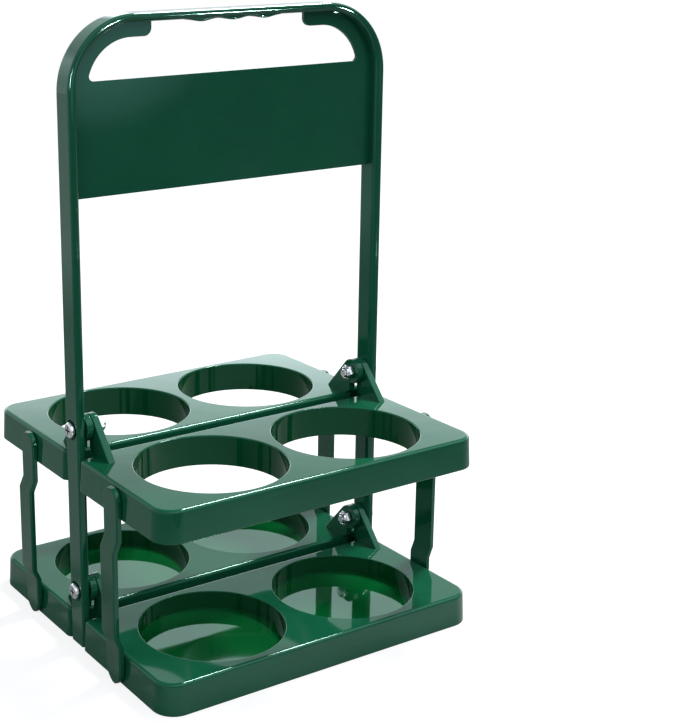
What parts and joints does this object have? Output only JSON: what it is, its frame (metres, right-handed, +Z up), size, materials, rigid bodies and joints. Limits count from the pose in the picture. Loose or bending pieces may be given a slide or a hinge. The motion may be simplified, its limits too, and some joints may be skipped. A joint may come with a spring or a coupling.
{
  "type": "folding drink carrier",
  "caption": "Folding bottle carrier: hoop frame with blank panel and grip, upper ring trays and lower well trays on bolts, joined by side links.",
  "frame": {"origin": "on the floor at the centre of the carrier, between the frame's two legs", "axes": "+Z up, +X along the carrier from the left leg to the right leg, -Y to the front"},
  "size_m": [0.2196, 0.1966, 0.351],
  "materials": {
    "green_plastic": "gloss",
    "zinc_steel": "bright"
  },
  "bodies": {
    "frame": {"handle_frame": "green_plastic", "upper_left_bolt": "zinc_steel", "upper_right_bolt": "zinc_steel", "lower_left_bolt": "zinc_steel", "lower_right_bolt": "zinc_steel", "upper_left_nut": "zinc_steel", "upper_right_nut": "zinc_steel", "lower_left_nut": "zinc_steel", "lower_right_nut": "zinc_steel"},
    "upper_front": {"upper_front_tray": "green_plastic"},
    "upper_rear": {"upper_rear_tray": "green_plastic"},
    "lower_front": {"lower_front_tray": "green_plastic"},
    "lower_rear": {"lower_rear_tray": "green_plastic"},
    "left_front_bar": {"left_front_link": "green_plastic"},
    "right_front_bar": {"right_front_link": "green_plastic"},
    "left_rear_bar": {"left_rear_link": "green_plastic"},
    "right_rear_bar": {"right_rear_link": "green_plastic"}
  },
  "joints": [
    {"name": "front_fold", "type": "hinge", "parent": "frame", "child": "upper_front", "pos_m": [0, 0, 0.1281], "axis": [-1, 0, 0], "range_deg": [0, 90]},
    {"name": "front_lower_fold", "type": "hinge", "parent": "frame", "child": "lower_front", "pos_m": [0, 0, 0.0324], "axis": [-1, 0, 0], "range_deg": [0, 90]},
    {"name": "left_front_link_turn", "type": "hinge", "parent": "upper_front", "child": "left_front_bar", "pos_m": [-0.10435, -0.0493, 0.1049], "axis": [-1, 0, 0], "range_deg": [-90, 0]},
    {"name": "right_front_link_turn", "type": "hinge", "parent": "upper_front", "child": "right_front_bar", "pos_m": [0.10435, -0.0493, 0.1049], "axis": [-1, 0, 0], "range_deg": [-90, 0]},
    {"name": "rear_fold", "type": "hinge", "parent": "frame", "child": "upper_rear", "pos_m": [0, 0, 0.1281], "axis": [1, 0, 0], "range_deg": [0, 90]},
    {"name": "rear_lower_fold", "type": "hinge", "parent": "frame", "child": "lower_rear", "pos_m": [0, 0, 0.0324], "axis": [1, 0, 0], "range_deg": [0, 90]},
    {"name": "left_rear_link_turn", "type": "hinge", "parent": "upper_rear", "child": "left_rear_bar", "pos_m": [-0.10435, 0.0493, 0.1049], "axis": [1, 0, 0], "range_deg": [-90, 0]},
    {"name": "right_rear_link_turn", "type": "hinge", "parent": "upper_rear", "child": "right_rear_bar", "pos_m": [0.10435, 0.0493, 0.1049], "axis": [1, 0, 0], "range_deg": [-90, 0]}
  ],
  "couplings": [
    {"joint": "front_lower_fold", "follows": "front_fold", "ratio": 1},
    {"joint": "left_front_link_turn", "follows": "front_fold", "ratio": -1},
    {"joint": "right_front_link_turn", "follows": "front_fold", "ratio": -1},
    {"joint": "rear_lower_fold", "follows": "rear_fold", "ratio": 1},
    {"joint": "left_rear_link_turn", "follows": "rear_fold", "ratio": -1},
    {"joint": "right_rear_link_turn", "follows": "rear_fold", "ratio": -1}
  ]
}
